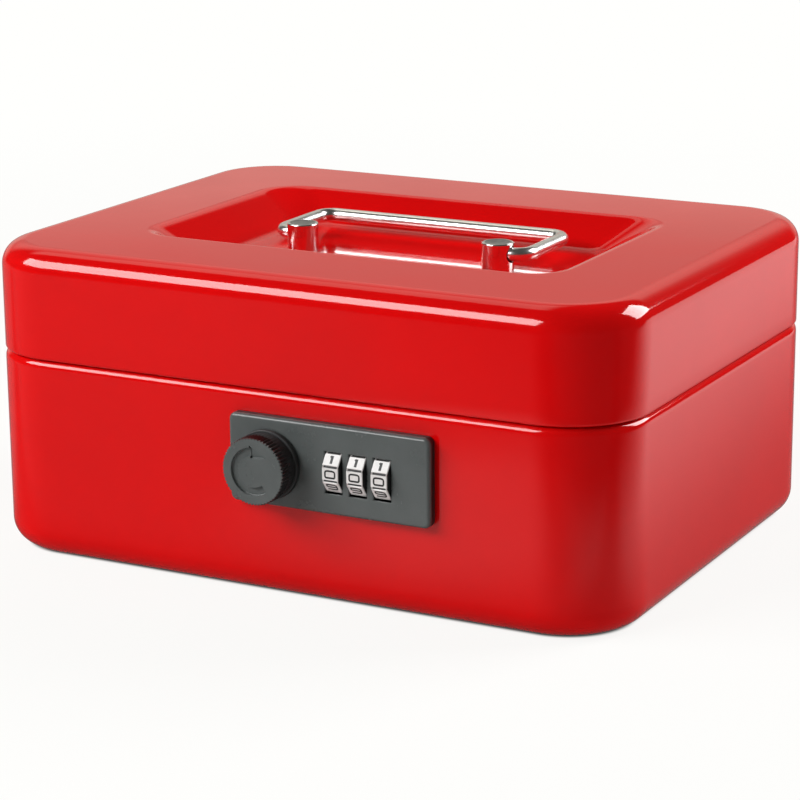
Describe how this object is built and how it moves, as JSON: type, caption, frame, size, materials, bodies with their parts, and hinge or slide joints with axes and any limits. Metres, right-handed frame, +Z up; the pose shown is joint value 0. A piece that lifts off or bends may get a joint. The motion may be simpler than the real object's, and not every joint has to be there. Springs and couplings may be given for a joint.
{
  "type": "cash box",
  "caption": "Rounded sheet-steel cash box with a hinged lid, a fold-flat wire bail in a lid recess, a dial lock with knob and a lift-out coin tray.",
  "frame": {"origin": "middle of the flat underside, where the box stands", "axes": "+X along the box to the right as seen from the lock side, -Y towards the lock side, +Z up"},
  "size_m": [0.2, 0.169, 0.09],
  "materials": {
    "red_paint": "gloss red stove enamel on steel",
    "chrome": "bright chrome plate",
    "zinc": "zinc plate",
    "spring_steel": "bare spring steel",
    "dark_plastic": "dark grey semi-gloss moulding",
    "black_plastic": "black moulding",
    "silver_plastic": "silver-white plated moulding"
  },
  "bodies": {
    "base": {"base_shell": "red_paint", "hinge_base_leaf_left": "red_paint", "hinge_base_leaf_right": "red_paint", "hinge_pin_left": "zinc", "hinge_pin_right": "zinc", "lock_housing": "dark_plastic", "lock_rear_case": "black_plastic", "case_screw_left": "zinc", "case_screw_right": "zinc", "wheel_axle": "zinc", "detent_spring": "spring_steel"},
    "lid": {"lid_shell": "red_paint", "hinge_lid_leaf_left": "red_paint", "hinge_lid_leaf_right": "red_paint", "handle_post_left": "chrome", "handle_post_right": "chrome", "post_washer_left": "zinc", "post_washer_right": "zinc", "post_nut_left": "zinc", "post_nut_right": "zinc", "strike_bracket": "red_paint"},
    "bail": {"handle_bail": "chrome"},
    "knob": {"lock_knob": "dark_plastic", "knob_spindle": "zinc", "latch_hook": "zinc", "latch_screw": "zinc"},
    "wheel_1": {"number_wheel_1": "silver_plastic"},
    "wheel_2": {"number_wheel_2": "silver_plastic"},
    "wheel_3": {"number_wheel_3": "silver_plastic"},
    "sleeve_1": {"gate_sleeve_1": "zinc"},
    "sleeve_2": {"gate_sleeve_2": "zinc"},
    "sleeve_3": {"gate_sleeve_3": "zinc"},
    "slide": {"code_slide": "black_plastic"},
    "bar": {"locking_bar": "spring_steel"},
    "tray": {"coin_tray": "black_plastic"}
  },
  "joints": [
    {"name": "lid_hinge", "type": "hinge", "parent": "base", "child": "lid", "pos_m": [0, 0.0773, 0.0587], "axis": [-1, 0, 0], "range_deg": [0, 100]},
    {"name": "bail_hinge", "type": "hinge", "parent": "lid", "child": "bail", "pos_m": [0, -0.0045, 0.0859], "axis": [1, 0, 0], "range_deg": [-6.2, 175]},
    {"name": "knob_turn", "type": "hinge", "parent": "base", "child": "knob", "pos_m": [0, -0.0806, 0.0393], "axis": [0, -1, 0], "range_deg": [0, 90]},
    {"name": "wheel_1_spin", "type": "hinge", "parent": "base", "child": "wheel_1", "pos_m": [0.01985, -0.07573, 0.0393], "axis": [1, 0, 0], "continuous": true},
    {"name": "wheel_2_spin", "type": "hinge", "parent": "base", "child": "wheel_2", "pos_m": [0.02725, -0.07573, 0.0393], "axis": [1, 0, 0], "continuous": true},
    {"name": "wheel_3_spin", "type": "hinge", "parent": "base", "child": "wheel_3", "pos_m": [0.03465, -0.07573, 0.0393], "axis": [1, 0, 0], "continuous": true},
    {"name": "code_slide_shift", "type": "slide", "parent": "base", "child": "slide", "axis": [-1, 0, 0], "range_m": [0, 0.0009]},
    {"name": "sleeve_1_shift", "type": "slide", "parent": "wheel_1", "child": "sleeve_1", "axis": [-1, 0, 0], "range_m": [0, 0.0009]},
    {"name": "sleeve_2_shift", "type": "slide", "parent": "wheel_2", "child": "sleeve_2", "axis": [-1, 0, 0], "range_m": [0, 0.0009]},
    {"name": "sleeve_3_shift", "type": "slide", "parent": "wheel_3", "child": "sleeve_3", "axis": [-1, 0, 0], "range_m": [0, 0.0009]},
    {"name": "bar_lift", "type": "slide", "parent": "base", "child": "bar", "axis": [0, 0, 1], "range_m": [0, 0.00075]},
    {"name": "tray_lift", "type": "slide", "parent": "base", "child": "tray", "axis": [0, 0, 1], "range_m": [0, 0.007]}
  ],
  "couplings": [
    {"joint": "bar_lift", "follows": "knob_turn", "m_per_rad": 0.00047746},
    {"joint": "sleeve_1_shift", "follows": "code_slide_shift", "ratio": 1},
    {"joint": "sleeve_2_shift", "follows": "code_slide_shift", "ratio": 1},
    {"joint": "sleeve_3_shift", "follows": "code_slide_shift", "ratio": 1}
  ]
}
